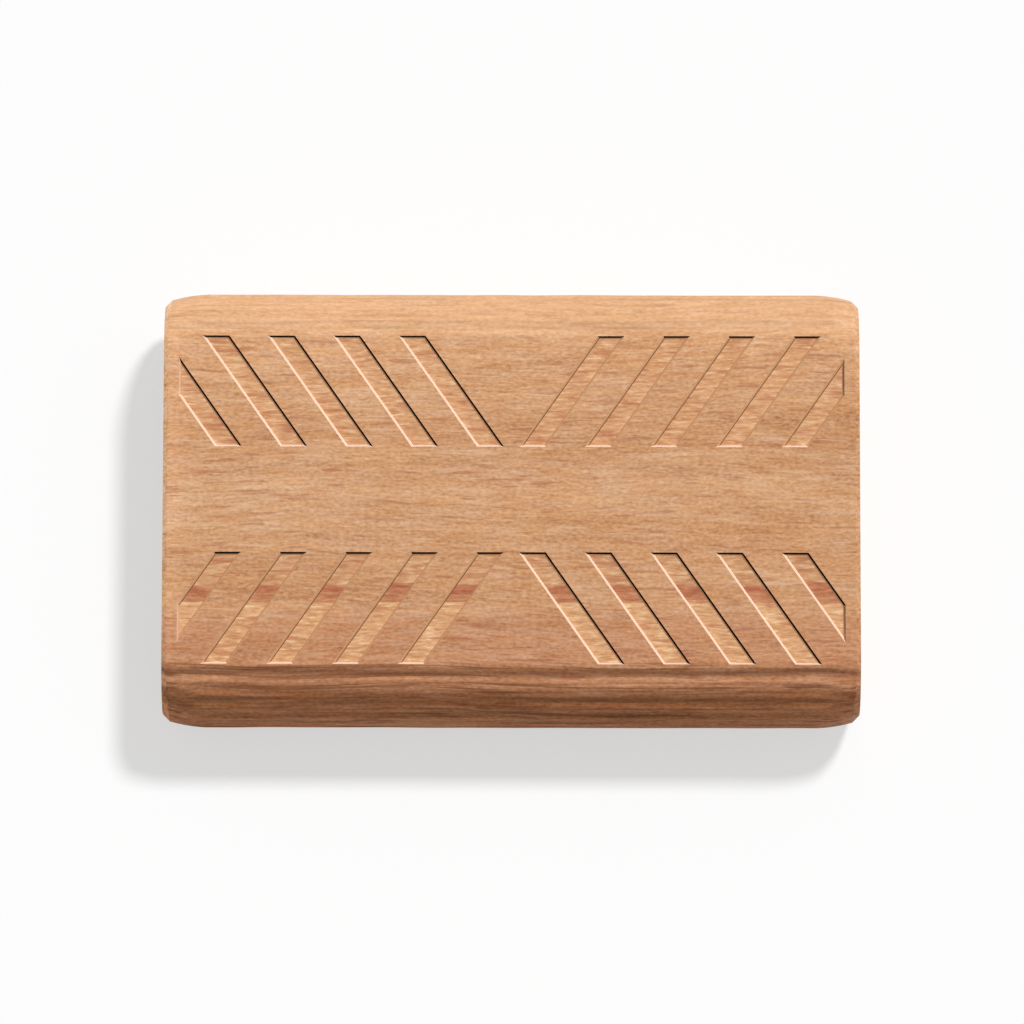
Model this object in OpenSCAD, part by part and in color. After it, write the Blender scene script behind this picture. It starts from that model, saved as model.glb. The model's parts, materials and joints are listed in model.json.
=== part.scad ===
// Loose tenon: a flat hardwood key that joins two boards, with half its length in a mortise in each.
// The origin is at the middle of the tenon. +X runs along the grain and the length, +Y across the
// width, and +Z is square to the upper glue face. Millimetres and degrees.

/* [Blank] */
// Length along the grain
tenon_l = 30; // [22:0.5:50]
// Width over the two rounded edges
tenon_w = 19; // [15:0.5:28]
// Thickness between the two glue faces, which is also the diameter of the rounded edges
tenon_t = 5; // [4:0.25:8]

/* [Ends] */
// How far each rounded edge has come in where it meets the end face
lead_in = 0.36; // [0.1:0.02:0.6]
// Radius of the curve that brings the rounded edges in
lead_r = 7; // [5:0.5:12]
// Size of the chamfer all round each end face
end_chamfer = 0.2; // [0.15:0.01:0.4]

/* [Flutes] */
// Flutes around each rounded edge
flute_count = 11; // [9:1:12]
// Depth of a flute below the rounded edge
flute_depth = 0.07; // [0.06:0.01:0.12]
// Width of the land left between two flutes
flute_land = 0.1; // [0.04:0.01:0.2]
// Angle from the edge of a glue face to the middle of the first land
flute_start = 6.5; // [5:0.5:15]

/* [Glue pockets] */
// Depth of a pocket below the glue face
pocket_depth = 0.15; // [0.1:0.01:0.3]
// Width of a pocket at the face, measured along the tenon
pocket_w = 1.16; // [0.8:0.02:1.6]
// Distance from one pocket to the next, along the tenon
pocket_pitch = 2.82; // [2:0.01:4]
// Lean of the pockets away from straight across the tenon
pocket_lean = 34.8; // [15:0.1:45]
// Draft of the pocket walls, from square to the face
pocket_draft = 36; // [10:1:45]
// Half the gap between the two innermost pockets of a row, at the plain band
centre_gap = 0.32; // [0.1:0.02:1]
// Width of the plain band between the two rows of pockets
band_w = 4.62; // [2:0.02:6]
// How far a row of pockets runs past the flat of the glue face, onto the rounded edge
row_overrun = 0.2; // [0:0.02:0.2]
// Plain margin between the last pockets and the end of the tenon
end_margin = 0.66; // [0.5:0.02:2]

/* [Hidden] */
$fn = 96;

// Extra reach of a cutter or an envelope past the surface that it works on
reach = 0.5;
// Height of the lead-in's curve over the rounded edge where it starts, and how far the straight part
// of the envelope runs on under that curve, before the curve is low enough to cut
skim = 0.01;
run_on = 0.1;

// Rounded edges: the radius, and how far the centre line of each lies from the middle
edge_r = tenon_t / 2;
edge_y = tenon_w / 2 - edge_r;

// The lead-in: its length along the tenon, and the centre line of the edge at the end face
lead_l = sqrt(2 * lead_r * lead_in - lead_in * lead_in);
edge_end_y = edge_y - lead_in;

// Flutes: the pitch as an angle, and the circle that cuts from land to land at the stated depth
flute_pitch = (180 - 2 * flute_start) / flute_count;
flute_half = flute_pitch / 2 - asin(flute_land / 2 / edge_r);
flute_chord = edge_r * sin(flute_half);
flute_sag = flute_depth - edge_r * (1 - cos(flute_half));
flute_r = (flute_chord * flute_chord + flute_sag * flute_sag) / (2 * flute_sag);
flute_axis = edge_r - flute_depth + flute_r;

// Pockets: the two ends of a row across the tenon, the end of the pattern along it, and the
// number of pockets in half a row, the last of which is whole where it meets the plain band
row_in = band_w / 2;
row_out = edge_y + row_overrun;
pattern_end = tenon_l / 2 - end_margin;
pocket_count = floor((pattern_end - centre_gap - pocket_w) / pocket_pitch) + 1;

// Section of the blank, as y and z: flat glue faces between two half-round edges
module blank_2d() {
    square([2 * edge_y, tenon_t], center = true);
    for (side = [-1, 1])
        translate([side * edge_y, 0])
            circle(r = edge_r);
}

// The same section with its flutes
module fluted_2d() {
    difference() {
        blank_2d();
        for (side = [-1, 1], k = [0 : flute_count - 1]) {
            turn = flute_start + (k + 0.5) * flute_pitch;
            translate([side * (edge_y + flute_axis * sin(turn)), flute_axis * cos(turn)])
                circle(r = flute_r);
        }
    }
}

// The fluted stock that the tenon is cut from
module fluted_stock() {
    rotate([90, 0, 90])
        linear_extrude(height = tenon_l, center = true)
            fluted_2d();
}

// One rounded edge turned about an upright axis, so that it curves in towards the end face
module lead_corner() {
    translate([tenon_l / 2 - lead_l, tenon_w / 2 - lead_r, 0])
        rotate_extrude(angle = 90) {
            translate([0, -edge_r - skim])
                square([lead_r - edge_r, tenon_t + 2 * skim]);
            intersection() {
                translate([lead_r - edge_r, 0])
                    circle(r = edge_r + skim);
                translate([lead_r - edge_r, -tenon_t])
                    square([tenon_t, 2 * tenon_t]);
            }
        }
}

// Everything inside the lead-ins, which cut nothing between the two ends or off the glue faces
module lead_envelope() {
    cube([tenon_l - 2 * lead_l + 2 * run_on, tenon_w + 2 * reach, tenon_t + 2 * reach], center = true);
    cube([tenon_l, 2 * edge_end_y, tenon_t + 2 * reach], center = true);
    for (along = [0, 1], across = [0, 1])
        mirror([along, 0, 0])
            mirror([0, across, 0])
                lead_corner();
}

// Half of the chamfered outline: distance from the centre line, and place along the tenon
function chamfer_outline() = [
    [0, -tenon_l / 2],
    [edge_r - end_chamfer, -tenon_l / 2],
    [edge_r + lead_in + reach, -tenon_l / 2 + end_chamfer + lead_in + reach],
    [edge_r + lead_in + reach, tenon_l / 2 - end_chamfer - lead_in - reach],
    [edge_r - end_chamfer, tenon_l / 2],
    [0, tenon_l / 2]
];

// Everything inside the end chamfers: a bar between the glue faces, and a turned body at each edge
module chamfer_envelope() {
    rotate([90, 90, 0])
        linear_extrude(height = 2 * edge_end_y, center = true)
            for (side = [0, 1])
                mirror([side, 0])
                    polygon(chamfer_outline());
    for (side = [-1, 1])
        translate([0, side * edge_end_y, 0])
            rotate([0, 90, 0])
                rotate_extrude()
                    polygon(chamfer_outline());
}

// Section of a groove in the glue face, with its floor and with walls that open out at the draft
function groove_section(from, to) = [
    [from + pocket_depth * tan(pocket_draft), -pocket_depth],
    [to - pocket_depth * tan(pocket_draft), -pocket_depth],
    [to + reach * tan(pocket_draft), reach],
    [from - reach * tan(pocket_draft), reach]
];

// The grooves of half a row, longer than the row is wide
module leaning_grooves() {
    for (k = [0 : pocket_count - 1])
        translate([centre_gap + k * pocket_pitch, row_in, 0])
            rotate([90, 0, -pocket_lean])
                linear_extrude(height = 2 * tenon_w, center = true)
                    polygon(groove_section(0, pocket_w * cos(pocket_lean)));
}

// The window that ends the grooves at the plain band and at the rounded edge
module row_window() {
    rotate([90, 0, 90])
        linear_extrude(height = tenon_l, center = true)
            polygon(groove_section(row_in, row_out));
}

// The window that ends the pattern near the two end faces
module end_window() {
    rotate([90, 0, 0])
        linear_extrude(height = 2 * tenon_w, center = true)
            polygon(groove_section(-pattern_end, pattern_end));
}

// The pockets of all four quarters of both glue faces, as solids to be cut away
module pockets() {
    for (face = [0, 1], along = [0, 1], across = [0, 1])
        mirror([0, 0, face])
            mirror([along, 0, 0])
                mirror([0, across, 0])
                    translate([0, 0, tenon_t / 2])
                        intersection() {
                            leaning_grooves();
                            row_window();
                            end_window();
                        }
}

// The whole tenon, which is one piece of beech
module tenon() {
    color("burlywood")
        difference() {
            intersection() {
                fluted_stock();
                lead_envelope();
                chamfer_envelope();
            }
            pockets();
        }
}

tenon();
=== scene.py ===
"""Looks of the loose tenon: worn pressed beech on a pale floor, seen from above its near edge.

The piece tenon_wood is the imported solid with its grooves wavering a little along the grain. Lengths
in the named values are millimetres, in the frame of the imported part: x along the grain, y across.
"""
import json
import math

import bmesh
import bpy
from mathutils import Euler, Matrix, Vector, noise

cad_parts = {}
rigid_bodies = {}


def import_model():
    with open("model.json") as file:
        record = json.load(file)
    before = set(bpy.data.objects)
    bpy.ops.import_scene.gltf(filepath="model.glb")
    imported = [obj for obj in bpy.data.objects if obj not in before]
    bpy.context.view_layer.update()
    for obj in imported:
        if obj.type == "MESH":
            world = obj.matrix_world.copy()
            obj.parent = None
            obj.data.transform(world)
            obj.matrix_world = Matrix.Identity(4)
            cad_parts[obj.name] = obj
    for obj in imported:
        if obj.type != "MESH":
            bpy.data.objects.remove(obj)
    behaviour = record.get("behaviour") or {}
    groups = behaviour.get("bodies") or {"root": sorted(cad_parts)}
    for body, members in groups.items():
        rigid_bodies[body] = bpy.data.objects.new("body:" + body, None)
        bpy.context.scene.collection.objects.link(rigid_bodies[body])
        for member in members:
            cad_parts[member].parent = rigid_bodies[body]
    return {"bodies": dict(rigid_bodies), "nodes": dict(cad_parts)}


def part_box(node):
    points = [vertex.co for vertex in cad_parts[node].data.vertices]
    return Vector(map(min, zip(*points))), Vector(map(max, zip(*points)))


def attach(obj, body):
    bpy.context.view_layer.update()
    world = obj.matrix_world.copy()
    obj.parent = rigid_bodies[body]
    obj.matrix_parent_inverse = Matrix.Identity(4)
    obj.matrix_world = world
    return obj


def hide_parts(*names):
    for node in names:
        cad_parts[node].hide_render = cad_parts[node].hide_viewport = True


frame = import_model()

MM = 0.001

# The photograph's view
IMAGE_PX = 1024
CAMERA_ELEVATION = 78.8
CAMERA_DISTANCE = 418.0
CAMERA_ROLL = 0.1
PX_PER_MM = 23.13
AIM = (0.025, -0.055)

# The tenon, beyond what its box says
POCKET_DEPTH = 0.15
POCKET_ROW_OUT = 7.2
PATTERN_END = 14.34
FLUTE_START = 6.5
FLUTE_PITCH = 15.18
NEAR_EDGE_WEAR = 0.7
FAR_EDGE_WEAR = 0.35
FAINT_FLUTE = 29.3

# Light: a key lamp from the upper right, and an even pale surround
KEY_AZIMUTH = 55.0
KEY_ELEVATION = 52.0
KEY_SOFTNESS = 9.0
SURROUND = 0.30


def srgb(r, g, b):
    """A colour given as it looks on screen, 0 to 255, as the linear colour that shaders take."""
    def linear(v):
        v /= 255.0
        return v / 12.92 if v <= 0.04045 else ((v + 0.055) / 1.055) ** 2.4
    return (linear(r), linear(g), linear(b), 1.0)


# How the near edge is toned, partly growth rings and partly painted shade and light, from the face, at 0, down to
# the middle of the near edge, at 1
NEAR_EDGE_RINGS_AND_SHADE = [
    (0.07, srgb(250, 248, 246)),
    (0.13, srgb(187, 178, 172)),
    (0.20, srgb(250, 246, 244)),
    (0.30, srgb(255, 248, 246)),
    (0.38, srgb(206, 192, 180)),
    (0.44, srgb(218, 202, 182)),
    (0.51, srgb(206, 190, 172)),
    (0.63, srgb(250, 232, 208)),
    (0.90, srgb(255, 240, 226)),
]


def clear_startup_objects():
    """Takes away what a new file holds besides the frame."""
    kept = set(frame["nodes"].values()) | set(frame["bodies"].values())
    for obj in list(bpy.data.objects):
        if obj not in kept:
            bpy.data.objects.remove(obj, do_unlink=True)


def smoothstep(low, high, value):
    t = min(max((value - low) / (high - low), 0.0), 1.0)
    return t * t * (3.0 - 2.0 * t)


class Graph:
    """A material's node tree, with one short call for each kind of node."""

    def __init__(self, name):
        self.material = bpy.data.materials.new(name)
        self.material.use_nodes = True
        self.tree = self.material.node_tree
        self.tree.nodes.clear()

    def node(self, kind, **settings):
        made = self.tree.nodes.new(kind)
        for key, value in settings.items():
            setattr(made, key, value)
        return made

    def feed(self, socket, value):
        if isinstance(value, bpy.types.NodeSocket):
            self.tree.links.new(value, socket)
        elif value is not None:
            socket.default_value = value

    def math(self, operation, a, b=None, c=None, clamp=False):
        made = self.node("ShaderNodeMath", operation=operation, use_clamp=clamp)
        for socket, value in zip(made.inputs, (a, b, c)):
            self.feed(socket, value)
        return made.outputs[0]

    def vector(self, operation, a, b=None):
        made = self.node("ShaderNodeVectorMath", operation=operation)
        self.feed(made.inputs[0], a)
        self.feed(made.inputs[1], b)
        return made.outputs["Value" if operation in ("DOT_PRODUCT", "LENGTH") else "Vector"]

    def split(self, vector):
        made = self.node("ShaderNodeSeparateXYZ")
        self.feed(made.inputs[0], vector)
        return made.outputs[0], made.outputs[1], made.outputs[2]

    def join(self, x, y, z):
        made = self.node("ShaderNodeCombineXYZ")
        for socket, value in zip(made.inputs, (x, y, z)):
            self.feed(socket, value)
        return made.outputs[0]

    def step(self, value, low, high):
        """0 below low, 1 above high, smooth between; low may be the larger."""
        made = self.node("ShaderNodeMapRange", interpolation_type="SMOOTHSTEP")
        self.feed(made.inputs["Value"], value)
        if low < high:
            limits = (low, high, 0.0, 1.0)
        else:
            limits = (high, low, 1.0, 0.0)
        for name, limit in zip(("From Min", "From Max", "To Min", "To Max"), limits):
            made.inputs[name].default_value = limit
        return made.outputs["Result"]

    def noise(self, coords, stretch, detail=2.0, rough=0.5, shift=(0.0, 0.0, 0.0)):
        """Noise with its own number of cycles per millimetre along x, y and z."""
        scaled = self.vector("MULTIPLY", coords, stretch)
        moved = self.vector("ADD", scaled, shift)
        made = self.node("ShaderNodeTexNoise", noise_dimensions="3D")
        self.feed(made.inputs["Vector"], moved)
        made.inputs["Scale"].default_value = 1.0
        made.inputs["Detail"].default_value = detail
        made.inputs["Roughness"].default_value = rough
        return made.outputs["Fac"]

    def ramp(self, value, stops):
        made = self.node("ShaderNodeValToRGB")
        self.feed(made.inputs[0], value)
        elements = made.color_ramp.elements
        while len(elements) < len(stops):
            elements.new(0.5)
        for element, (place, colour) in zip(elements, stops):
            element.position = place
            element.color = colour
        return made.outputs[0]

    def mix(self, factor, a, b, blend="MIX"):
        made = self.node("ShaderNodeMix", data_type="RGBA", blend_type=blend)
        self.feed(made.inputs[0], factor)
        self.feed(made.inputs[6], a)
        self.feed(made.inputs[7], b)
        return made.outputs[2]


def place_in_mm(g):
    """The place on the tenon in millimetres, and its parts."""
    coords = g.node("ShaderNodeTexCoord").outputs["Object"]
    place = g.vector("MULTIPLY", coords, (1.0 / MM, 1.0 / MM, 1.0 / MM))
    return place, g.split(place)


def pocket_masks(g, x, y, z, half_t):
    """1 on the floors of the pockets, 1 on their walls, and how far down a place is, 0 to 1."""
    normal = g.node("ShaderNodeNewGeometry").outputs["True Normal"]
    nx, ny, nz = g.split(normal)
    in_x = g.math("LESS_THAN", g.math("ABSOLUTE", x), PATTERN_END + 0.05)
    in_y = g.math("LESS_THAN", g.math("ABSOLUTE", y), POCKET_ROW_OUT + 0.03)
    depth = g.math("SUBTRACT", half_t, g.math("ABSOLUTE", z))
    near = g.math("LESS_THAN", depth, POCKET_DEPTH + 0.05)
    inside = g.math("MULTIPLY", g.math("MULTIPLY", in_x, in_y), near)
    floor = g.math("MULTIPLY", inside, g.step(depth, 0.75 * POCKET_DEPTH, 0.9 * POCKET_DEPTH))
    wall = g.math("MULTIPLY", inside, g.math("LESS_THAN", g.math("ABSOLUTE", nz), 0.9))
    return floor, wall, g.math("DIVIDE", depth, POCKET_DEPTH), nx, ny


def wood_place(g, place, x, y, z, floor):
    """The place in the stick of wood: the grain wanders, and a pocket's floor shows another slice."""
    wander = g.noise(place, (0.07, 0.12, 0.12), detail=1.0)
    drift = g.math("MULTIPLY", g.math("SUBTRACT", wander, 0.5), 1.3)
    shift = g.vector("MULTIPLY", g.join(floor, floor, floor), (5.0, 2.7, 9.0))
    moved = g.join(x, g.math("ADD", y, drift), z)
    return g.vector("ADD", moved, shift)


def beech():
    """Planed and pressed beech: bands, streaks, fibres, ray flecks and pores, all running along x."""
    g = Graph("beech")
    low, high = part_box("tenon")
    half_l, half_w, half_t = ((high[k] - low[k]) / 2.0 / MM for k in range(3))
    place, (x, y, z) = place_in_mm(g)
    floor, wall, down, nx, ny = pocket_masks(g, x, y, z, half_t)
    wood = wood_place(g, place, x, y, z, floor)

    bands = g.noise(wood, (0.03, 0.42, 0.42), detail=2.0, rough=0.55, shift=(3.1, 0.4, 7.7))
    streaks = g.noise(wood, (0.22, 1.9, 1.5), detail=2.0, rough=0.6, shift=(11.0, 5.0, 2.0))
    fibres = g.noise(wood, (0.9, 7.5, 6.0), detail=2.0, rough=0.6, shift=(1.0, 8.0, 4.0))
    grains = g.noise(wood, (4.6, 9.0, 8.0), detail=1.0, rough=0.6, shift=(9.0, 6.0, 1.0))
    tone = 0.5
    for layer, amount in ((bands, 0.32), (streaks, 0.34), (fibres, 0.46), (grains, 0.56)):
        tone = g.math("MULTIPLY_ADD", g.math("SUBTRACT", layer, 0.5), amount, tone)
    colour = g.ramp(tone, [
        (0.18, srgb(160, 103, 66)),
        (0.38, srgb(196, 141, 98)),
        (0.50, srgb(211, 158, 115)),
        (0.64, srgb(225, 175, 133)),
        (0.86, srgb(242, 203, 163)),
    ])
    hues = g.noise(wood, (0.5, 3.2, 3.0), detail=2.0, rough=0.6, shift=(14.0, 9.0, 3.0))
    colour = g.mix(g.step(hues, 0.38, 0.62), g.mix(1.0, colour, (1.0, 0.95, 0.86, 1.0), blend="MULTIPLY"),
                   g.mix(1.0, colour, (1.0, 1.03, 1.08, 1.0), blend="MULTIPLY"))

    flecks = g.noise(wood, (0.55, 5.2, 3.0), detail=1.5, rough=0.5, shift=(21.0, 3.0, 9.0))
    fleck = g.step(flecks, 0.60, 0.70)
    colour = g.mix(g.math("MULTIPLY", fleck, 0.5), colour, srgb(172, 104, 68))
    creams = g.noise(wood, (0.45, 6.5, 3.0), detail=1.5, rough=0.5, shift=(4.0, 31.0, 6.0))
    cream = g.step(creams, 0.60, 0.72)
    colour = g.mix(g.math("MULTIPLY", cream, 0.45), colour, srgb(234, 192, 152))
    pores = g.noise(wood, (3.2, 14.0, 12.0), detail=1.0, rough=0.5, shift=(8.0, 2.0, 17.0))
    pore = g.step(pores, 0.66, 0.74)
    colour = g.mix(g.math("MULTIPLY", pore, 0.3), colour, srgb(144, 84, 52))

    colour = board_tones(g, colour, x, y, half_l)
    colour = edge_tones(g, colour, place, wood, y, z, nx, half_w - half_t, half_t)
    colour = floor_tones(g, colour, place, wood, y, floor)
    colour, painted_wall_shade = painted_wall_light(g, colour, wall, down, nx, ny)
    colour = end_grain(g, colour, place, x, y, z, nx, half_l)

    height = g.math("MULTIPLY_ADD", fibres, 0.6, g.math("MULTIPLY", pores, -0.4))
    bump = g.node("ShaderNodeBump")
    bump.inputs["Strength"].default_value = 0.35
    bump.inputs["Distance"].default_value = 0.02 * MM
    g.feed(bump.inputs["Height"], height)

    shader = g.node("ShaderNodeBsdfPrincipled")
    g.feed(shader.inputs["Base Color"], colour)
    g.feed(shader.inputs["Roughness"], g.math("MULTIPLY_ADD", fibres, 0.15, 0.52))
    # no sheen where the pocket walls carry near-black painted shade
    g.feed(shader.inputs["Specular IOR Level"], g.math("MULTIPLY_ADD", painted_wall_shade, -0.22, 0.22))
    g.feed(shader.inputs["Normal"], bump.outputs["Normal"])
    out = g.node("ShaderNodeOutputMaterial")
    g.feed(out.inputs["Surface"], shader.outputs[0])
    return g.material


def board_tones(g, colour, x, y, half_l):
    """The board is redder and darker toward its near edge, and paler toward the far one and the left end."""
    low = g.mix(1.0, colour, srgb(242, 231, 231), blend="MULTIPLY")
    colour = g.mix(g.step(y, -4.2, -5.7), colour, low)
    high = g.mix(1.0, colour, (1.05, 1.06, 1.07, 1.0), blend="MULTIPLY")
    colour = g.mix(g.step(y, 1.6, 4.0), colour, high)
    rim = g.mix(1.0, colour, (1.05, 1.05, 1.05, 1.0), blend="MULTIPLY")
    colour = g.mix(g.step(y, 5.7, 6.8), colour, rim)
    end = g.mix(1.0, colour, (1.10, 1.11, 1.14, 1.0), blend="MULTIPLY")
    return g.mix(g.step(x, 1.3 - half_l, 0.2 - half_l), colour, end)


def edge_tones(g, colour, place, wood, y, z, nx, edge_y, half_t):
    """Bands round the near edge by angle, partly growth rings and partly painted shade and light; a painted
    highlight along the far edge; and painted shade as dark lines down in the flute valleys.
    """
    out = g.math("SUBTRACT", g.math("ABSOLUTE", y), edge_y)
    turn = g.math("ARCTAN2", out, g.math("ABSOLUTE", z))
    degrees = g.math("MULTIPLY", turn, 180.0 / math.pi)
    waver = g.noise(place, (0.12, 0.05, 0.05), detail=2.0, shift=(5.0, 2.0, 8.0))
    angle = g.math("MULTIPLY_ADD", g.math("SUBTRACT", waver, 0.5), 14.0, degrees)
    near = g.math("LESS_THAN", y, 0.0)
    reach = g.vector("LENGTH", g.join(out, z, 0.0))
    outside = g.math("MULTIPLY", g.step(degrees, 1.0, 7.0), g.step(reach, half_t - 0.7, half_t - 0.5))
    on_edge = g.math("MULTIPLY", outside, g.step(g.math("ABSOLUTE", nx), 0.95, 0.8))
    # tones by angle round the near edge: partly growth rings, partly painted shade and light
    rings_and_shade = g.ramp(g.math("DIVIDE", angle, 90.0), NEAR_EDGE_RINGS_AND_SHADE)
    colour = g.mix(g.math("MULTIPLY", near, on_edge), colour, g.mix(1.0, colour, rings_and_shade, blend="MULTIPLY"))

    # painted shade: dark lines down in the flute valleys, broken along the grain
    phase = g.math("MULTIPLY", g.math("SUBTRACT", degrees, FLUTE_START), 2.0 * math.pi / FLUTE_PITCH)
    valley = g.step(g.math("COSINE", phase), -0.55, -1.0)
    broken = g.noise(place, (0.13, 0.9, 0.9), detail=2.0, rough=0.6, shift=(1.0, 17.0, 3.0))
    valley_shade = g.math("MULTIPLY", g.math("MULTIPLY", valley, on_edge), g.step(broken, 0.42, 0.62))
    from_faint = g.math("ABSOLUTE", g.math("SUBTRACT", degrees, FAINT_FLUTE))
    near_amount = g.math("MULTIPLY", g.step(from_faint, 3.0, 8.0), 0.25)
    amount = g.math("MULTIPLY_ADD", near, g.math("SUBTRACT", near_amount, 0.36), 0.36)
    colour = g.mix(g.math("MULTIPLY", valley_shade, amount), colour, srgb(96, 52, 26))

    hair = g.noise(wood, (0.07, 5.0, 5.0), detail=2.0, rough=0.6, shift=(2.0, 13.0, 5.0))
    dark = g.math("MULTIPLY", g.math("MULTIPLY", near, on_edge), g.step(hair, 0.55, 0.62))
    colour = g.mix(g.math("MULTIPLY", dark, 0.6), colour, srgb(124, 74, 40))
    light = g.math("MULTIPLY", g.math("MULTIPLY", near, on_edge), g.step(hair, 0.45, 0.38))
    colour = g.mix(light, colour, g.mix(1.0, colour, (1.18, 1.16, 1.14, 1.0), blend="MULTIPLY"))
    # painted highlight along the far edge, which faces the key lamp
    painted_highlight = g.math("MULTIPLY", g.step(y, 6.6, 7.8), 0.35)
    return g.mix(painted_highlight, colour, srgb(236, 190, 146))


def floor_tones(g, colour, place, wood, y, floor):
    """Pocket floors show crisp torn grain, red flecks, and a red growth ring across the near rows."""
    crisp = g.noise(place, (1.3, 6.5, 3.0), detail=3.0, rough=0.7, shift=(31.0, 7.0, 2.0))
    torn = g.ramp(crisp, [
        (0.34, srgb(178, 116, 74)),
        (0.46, srgb(204, 148, 104)),
        (0.56, srgb(218, 168, 122)),
        (0.66, srgb(244, 206, 164)),
    ])
    colour = g.mix(g.math("MULTIPLY", floor, 0.62), colour, torn)
    flecks = g.noise(wood, (0.6, 4.6, 3.0), detail=2.0, rough=0.6, shift=(6.0, 1.0, 3.0))
    red = g.math("MULTIPLY", g.math("MULTIPLY", floor, g.step(flecks, 0.55, 0.64)), 0.55)
    colour = g.mix(red, colour, srgb(180, 106, 72))
    sway = g.noise(place, (0.5, 0.0, 0.0), detail=1.0, shift=(3.0, 3.0, 3.0))
    top = g.math("MULTIPLY_ADD", g.math("SUBTRACT", sway, 0.5), 0.8, y)
    ring = g.math("MULTIPLY", g.step(y, -4.50, -4.46), g.step(top, -3.60, -3.85))
    crest = g.math("MULTIPLY", g.step(top, -4.15, -3.95), 0.35)
    depth = g.math("MULTIPLY", g.math("MULTIPLY", floor, ring), g.math("ADD", crest, 0.65))
    colour = g.mix(depth, colour, g.mix(1.0, colour, (0.78, 0.52, 0.49, 1.0), blend="MULTIPLY"))
    light = g.math("MULTIPLY", g.step(y, -4.44, -4.52), floor)
    colour = g.mix(light, colour, g.mix(1.0, colour, (1.16, 1.24, 1.24, 1.0), blend="MULTIPLY"))
    far = g.math("MULTIPLY", g.math("GREATER_THAN", y, 0.0), floor)
    return g.mix(far, colour, g.mix(1.0, colour, (1.07, 1.07, 1.06, 1.0), blend="MULTIPLY"))


def painted_wall_light(g, colour, wall, down, nx, ny):
    """Painted light and shade on the pocket walls by how each faces the key lamp: near-black painted shade high
    on walls turned from it with painted light below, a painted highlight on walls turned to it, and on walls
    across the light painted light with painted shade along their feet.
    """
    turn = math.radians(KEY_AZIMUTH)
    flank = g.math("MULTIPLY_ADD", nx, math.cos(turn), g.math("MULTIPLY", ny, math.sin(turn)))
    # walls turned from the key lamp get painted shade, walls turned to it a painted highlight
    dark = g.math("MULTIPLY", wall, g.step(flank, -0.20, -0.70))
    painted_highlight = g.math("MULTIPLY", wall, g.step(flank, 0.25, 0.80))
    other = g.math("SUBTRACT", wall, g.math("ADD", dark, painted_highlight))
    # painted light on the walls across the light, against the shade of their slope
    colour = g.mix(g.math("MULTIPLY", other, 0.65), colour, srgb(240, 192, 146))
    # painted shade along the feet of the walls across the light
    painted_foot_shade = g.math("MULTIPLY", g.step(down, 0.55, 0.80), g.math("MULTIPLY_ADD", g.step(nx, -0.3, 0.3), 0.55, 0.25))
    colour = g.mix(g.math("MULTIPLY", other, painted_foot_shade), colour, srgb(92, 52, 26))
    # painted light on the walls turned from the key lamp, left showing low down
    colour = g.mix(g.math("MULTIPLY", dark, 0.8), colour, srgb(252, 214, 176))
    # near-black painted shade high on the walls turned from the key lamp
    painted_wall_shade = g.math("MULTIPLY", dark, g.step(down, 0.72, 0.54))
    colour = g.mix(painted_wall_shade, colour, srgb(14, 6, 2))
    # painted highlight on the walls turned to the key lamp
    return g.mix(g.math("MULTIPLY", painted_highlight, 0.95), colour, srgb(252, 223, 199)), painted_wall_shade


def end_grain(g, colour, place, x, y, z, nx, half_l):
    """The cut ends are darker, with growth rings and open pores, and the left chamfer gets painted light."""
    slope = g.math("ABSOLUTE", nx)
    end = g.step(slope, 0.8, 0.95)
    colour = g.mix(g.math("MULTIPLY", end, 0.6), colour, srgb(178, 128, 92))
    bend = g.noise(place, (0.0, 0.12, 0.2), detail=1.0, shift=(2.0, 6.0, 4.0))
    across = g.math("MULTIPLY_ADD", z, 0.45, g.math("MULTIPLY_ADD", bend, 3.0, y))
    wave = g.math("SINE", g.math("MULTIPLY", across, 2.0 * math.pi / 1.15))
    ring = g.math("MULTIPLY", g.step(wave, 0.2, 1.0), g.math("MULTIPLY", end, 0.35))
    colour = g.mix(ring, colour, srgb(136, 86, 54))
    vessels = g.noise(place, (0.0, 16.0, 16.0), detail=1.0, shift=(7.0, 3.0, 1.0))
    pits = g.math("MULTIPLY", g.step(vessels, 0.60, 0.70), g.math("MULTIPLY", end, 0.4))
    colour = g.mix(pits, colour, srgb(118, 72, 44))
    # painted light on the left chamfer, which faces away from the key lamp
    outer = g.math("GREATER_THAN", g.math("ABSOLUTE", x), half_l - 0.3)
    left = g.math("MULTIPLY", outer, g.step(nx, -0.3, -0.5))
    painted_chamfer_light = g.math("MULTIPLY", left, g.math("SUBTRACT", 1.0, end))
    return g.mix(painted_chamfer_light, colour, g.mix(1.0, colour, (1.38, 1.50, 1.55, 1.0), blend="MULTIPLY"))


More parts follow.
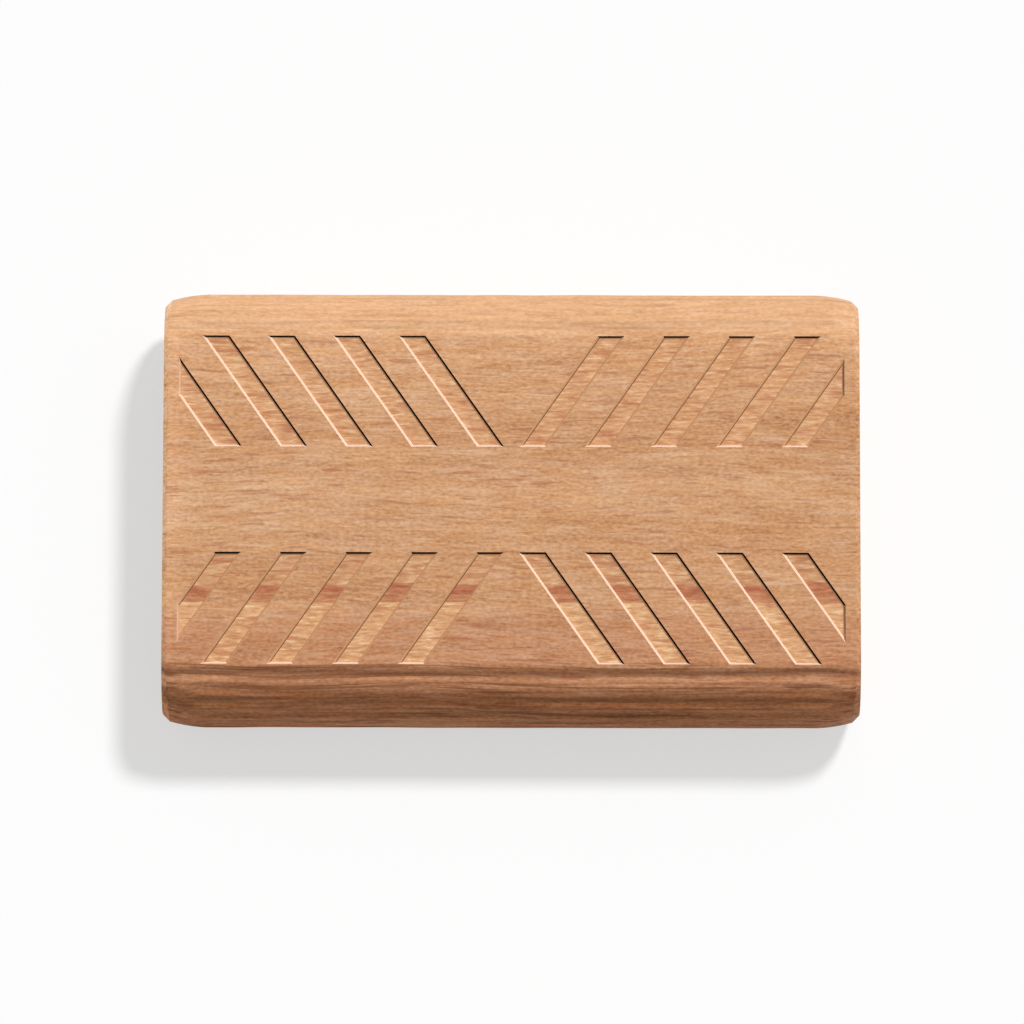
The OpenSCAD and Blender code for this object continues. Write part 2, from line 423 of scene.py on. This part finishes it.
def worn_point(point, half_w, half_t):
    """Moves a point of the rounded edges so that the flutes waver along the grain and are worn here
    and there. The lead-ins stay as they are."""
    edge_y = half_w - half_t
    side = 1.0 if point.y > 0.0 else -1.0
    out = abs(point.y) - edge_y
    amount = smoothstep(0.1 * MM, 0.6 * MM, out)
    if amount <= 0.0:
        return point
    turn = math.atan2(out, point.z)
    along = point.x / MM
    sway = noise.noise(Vector((along * 0.16, turn * 1.3, side * 4.0 + 7.0)))
    dent = noise.noise(Vector((along * 0.45, turn * 2.2, side * 9.0 + 2.0)))
    radius = math.hypot(out, point.z)
    wear = smoothstep(-0.35, 0.35, noise.noise(Vector((along * 0.09, turn * 3.1, side * 6.0 + 1.0))))
    wear *= FAR_EDGE_WEAR if side > 0.0 else NEAR_EDGE_WEAR
    if side < 0.0:
        faint = smoothstep(FLUTE_PITCH / 2.0, 1.5, abs(math.degrees(turn) - FAINT_FLUTE))
        wear = max(wear, 0.85 * faint)
    straight = 1.0 - smoothstep(10.5, 12.6, abs(along))
    radius += (half_t - radius) * wear * straight * amount
    radius += amount * (dent - 0.5) * 0.016 * MM
    turn += amount * sway * math.radians(2.6)
    return Vector((point.x, side * (edge_y + radius * math.sin(turn)), radius * math.cos(turn)))


def cut_into_cells(bm, axis, half, step):
    """Cuts all faces on planes a step apart, so that the surface can bend between them."""
    count = int(half / step)
    normal = Vector((0.0, 0.0, 0.0))
    normal[axis] = 1.0
    for k in range(-count, count + 1):
        place = normal * (k * step)
        parts = list(bm.verts) + list(bm.edges) + list(bm.faces)
        bmesh.ops.bisect_plane(bm, geom=parts, dist=1e-8, plane_co=place, plane_no=normal)


def tenon_wood():
    """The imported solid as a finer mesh, with wavering grooves."""
    low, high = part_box("tenon")
    half_l, half_w, half_t = ((high[k] - low[k]) / 2.0 for k in range(3))
    bm = bmesh.new()
    bm.from_mesh(frame["nodes"]["tenon"].data)
    bmesh.ops.remove_doubles(bm, verts=bm.verts, dist=0.001 * MM)
    bmesh.ops.dissolve_limit(bm, angle_limit=math.radians(0.15), verts=bm.verts, edges=bm.edges)
    cut_into_cells(bm, 0, half_l, 0.47 * MM)
    cut_into_cells(bm, 1, half_w, 0.83 * MM)
    bmesh.ops.triangulate(bm, faces=bm.faces)
    for vert in bm.verts:
        vert.co = worn_point(vert.co.copy(), half_w, half_t)
    bm.normal_update()
    for face in bm.faces:
        face.smooth = True
    for edge in bm.edges:
        edge.smooth = edge.calc_face_angle(0.0) < math.radians(30.0)
    mesh = bpy.data.meshes.new("tenon_wood")
    bm.to_mesh(mesh)
    bm.free()
    piece = bpy.data.objects.new("tenon_wood", mesh)
    bpy.context.scene.collection.objects.link(piece)
    mesh.materials.append(beech())
    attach(piece, "root")
    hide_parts("tenon")
    return piece


def floor_material():
    """A pale floor. The camera sees it white where it is lit, and still sees the shadow on it."""
    g = Graph("pale_floor")
    real = g.node("ShaderNodeBsdfDiffuse")
    real.inputs["Color"].default_value = (0.8, 0.8, 0.8, 1.0)
    seen = g.node("ShaderNodeBsdfDiffuse")
    seen.inputs["Color"].default_value = (0.42, 0.42, 0.42, 1.0)
    glow = g.node("ShaderNodeEmission")
    glow.inputs["Strength"].default_value = 0.585
    shown = g.node("ShaderNodeAddShader")
    g.feed(shown.inputs[0], seen.outputs[0])
    g.feed(shown.inputs[1], glow.outputs[0])
    path = g.node("ShaderNodeLightPath")
    both = g.node("ShaderNodeMixShader")
    g.feed(both.inputs[0], path.outputs["Is Camera Ray"])
    g.feed(both.inputs[1], real.outputs[0])
    g.feed(both.inputs[2], shown.outputs[0])
    out = g.node("ShaderNodeOutputMaterial")
    g.feed(out.inputs["Surface"], both.outputs[0])
    return g.material


def pale_floor():
    """A wide plane that the tenon lies on, a hair below it so that the two faces do not coincide."""
    low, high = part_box("tenon")
    half = 3000.0 * MM
    level = low.z - 0.01 * MM
    mesh = bpy.data.meshes.new("floor")
    corners = [(-half, -half, level), (half, -half, level), (half, half, level), (-half, half, level)]
    mesh.from_pydata(corners, [], [(0, 1, 2, 3)])
    mesh.materials.append(floor_material())
    floor = bpy.data.objects.new("floor", mesh)
    bpy.context.scene.collection.objects.link(floor)


def light_and_surround():
    """The key lamp and the even surround, which together light a level surface to full brightness."""
    rise = math.radians(KEY_ELEVATION)
    lamp = bpy.data.lights.new("key", "SUN")
    lamp.energy = (1.0 - SURROUND) * math.pi / math.sin(rise)
    lamp.angle = math.radians(KEY_SOFTNESS)
    key = bpy.data.objects.new("key", lamp)
    turn = math.radians(KEY_AZIMUTH)
    toward = Vector((math.cos(rise) * math.cos(turn), math.cos(rise) * math.sin(turn), math.sin(rise)))
    key.rotation_euler = toward.to_track_quat("Z", "Y").to_euler()
    bpy.context.scene.collection.objects.link(key)

    world = bpy.data.worlds.new("surround")
    world.use_nodes = True
    tree = world.node_tree
    tree.nodes.clear()
    path = tree.nodes.new("ShaderNodeLightPath")
    level = tree.nodes.new("ShaderNodeMapRange")
    level.inputs["To Min"].default_value = SURROUND
    level.inputs["To Max"].default_value = 1.0
    back = tree.nodes.new("ShaderNodeBackground")
    out = tree.nodes.new("ShaderNodeOutputWorld")
    tree.links.new(path.outputs["Is Camera Ray"], level.inputs["Value"])
    tree.links.new(level.outputs["Result"], back.inputs["Strength"])
    tree.links.new(back.outputs[0], out.inputs["Surface"])
    bpy.context.scene.world = world


def photo_camera():
    """A long lens above the near edge, with the photograph's framing and slight roll."""
    data = bpy.data.cameras.new("camera")
    data.sensor_width = 36.0
    data.angle = 2.0 * math.atan(IMAGE_PX / PX_PER_MM / 2.0 / CAMERA_DISTANCE)
    data.clip_start = 0.01
    data.clip_end = 10.0
    camera = bpy.data.objects.new("camera", data)
    rise = math.radians(CAMERA_ELEVATION)
    away = Vector((0.0, -math.cos(rise), math.sin(rise))) * CAMERA_DISTANCE
    camera.location = (Vector((AIM[0], AIM[1], 0.0)) + away) * MM
    turn = Euler((math.pi / 2.0 - rise, 0.0, 0.0)).to_matrix()
    camera.rotation_euler = (turn @ Matrix.Rotation(math.radians(CAMERA_ROLL), 3, "Z")).to_euler()
    bpy.context.scene.collection.objects.link(camera)
    bpy.context.scene.camera = camera


clear_startup_objects()
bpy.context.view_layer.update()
bpy.context.scene.view_settings.view_transform = "Standard"
photo_camera()
light_and_surround()
pale_floor()
tenon_wood()
